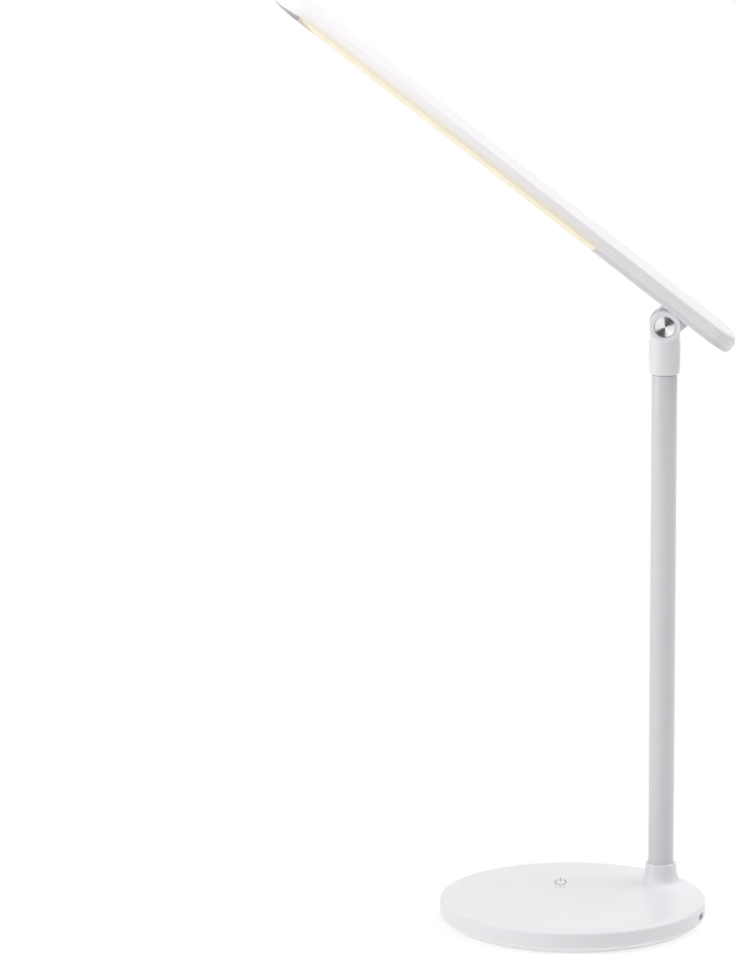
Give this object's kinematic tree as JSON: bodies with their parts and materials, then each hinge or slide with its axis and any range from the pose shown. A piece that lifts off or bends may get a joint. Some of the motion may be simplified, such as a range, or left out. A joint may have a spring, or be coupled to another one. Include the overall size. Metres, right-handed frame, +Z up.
{
  "type": "folding table lamp",
  "caption": "Folding desk lamp: a round weighted base, a slim stem at its rear, and a long flat light bar that tilts and swivels on a round knuckle.",
  "frame": {"origin": "centre of the round base, on the desk under its anti-slip pad", "axes": "+Z up, -Y toward the viewer's side of the base, and the light bar points to -X in the rest pose"},
  "size_m": [0.2501, 0.146, 0.5118],
  "materials": {
    "base_cover": "white moulded plastic, satin gloss",
    "base_floor": "white moulded plastic, satin",
    "anti_slip_pad": "matt grey foam rubber",
    "ballast_plate": "zinc-plated steel plate",
    "base_screws": "plated steel",
    "battery_pack": "foil-wrapped flat cell",
    "control_board": "glass-fibre board with its parts",
    "touch_contact": "conductive foam",
    "charge_board": "glass-fibre board",
    "usb_socket": "plated steel shell",
    "board_screws": "plated steel",
    "stem_foot": "turned steel",
    "foot_screws": "plated steel",
    "stem_grub_screw": "blackened steel",
    "stem_tube": "drawn tube, painted grey-white",
    "stem_lead": "white sheathed two-core lead",
    "swivel_bush": "natural nylon",
    "knuckle": "white moulded plastic, satin gloss",
    "swivel_nut": "turned steel",
    "hinge_bolt": "turned steel",
    "hinge_nut": "plated steel",
    "spring_washer": "spring steel",
    "friction_washers": "filled plastic",
    "hinge_caps": "bright metal with a turned face",
    "hinge_lug": "die-cast, painted off-white",
    "lug_screws": "plated steel",
    "under_cover": "white moulded plastic, satin gloss",
    "head_shell": "white moulded plastic, satin gloss",
    "tip_cover": "white moulded plastic, satin gloss",
    "diffuser": "milky light-spreading plastic, lit warm white",
    "led_board": "metal-cored board, white mask",
    "led_chips": "phosphor-coated chips",
    "head_lead": "white sheathed lead"
  },
  "bodies": {
    "base": {"base_cover": "base_cover", "base_floor": "base_floor", "anti_slip_pad": "anti_slip_pad", "ballast_plate": "ballast_plate", "base_screws": "base_screws", "battery_pack": "battery_pack", "control_board": "control_board", "touch_contact": "touch_contact", "charge_board": "charge_board", "usb_socket": "usb_socket", "board_screws": "board_screws", "stem_foot": "stem_foot", "foot_screws": "foot_screws", "stem_grub_screw": "stem_grub_screw", "stem_tube": "stem_tube", "stem_lead": "stem_lead", "swivel_bush": "swivel_bush"},
    "neck": {"knuckle": "knuckle", "swivel_nut": "swivel_nut", "hinge_bolt": "hinge_bolt", "hinge_nut": "hinge_nut", "spring_washer": "spring_washer", "friction_washers": "friction_washers", "hinge_caps": "hinge_caps"},
    "head": {"hinge_lug": "hinge_lug", "lug_screws": "lug_screws", "under_cover": "under_cover", "head_shell": "head_shell", "tip_cover": "tip_cover", "diffuser": "diffuser", "led_board": "led_board", "led_chips": "led_chips", "head_lead": "head_lead"}
  },
  "joints": [
    {"name": "neck_swivel", "type": "hinge", "parent": "base", "child": "neck", "pos_m": [0.04864, 0.03159, 0.3], "axis": [0, 0, 1], "range_deg": [-102, 168]},
    {"name": "head_tilt", "type": "hinge", "parent": "neck", "child": "head", "pos_m": [0.04864, 0.03159, 0.3274], "axis": [0, 1, 0], "range_deg": [-126, 40]}
  ]
}
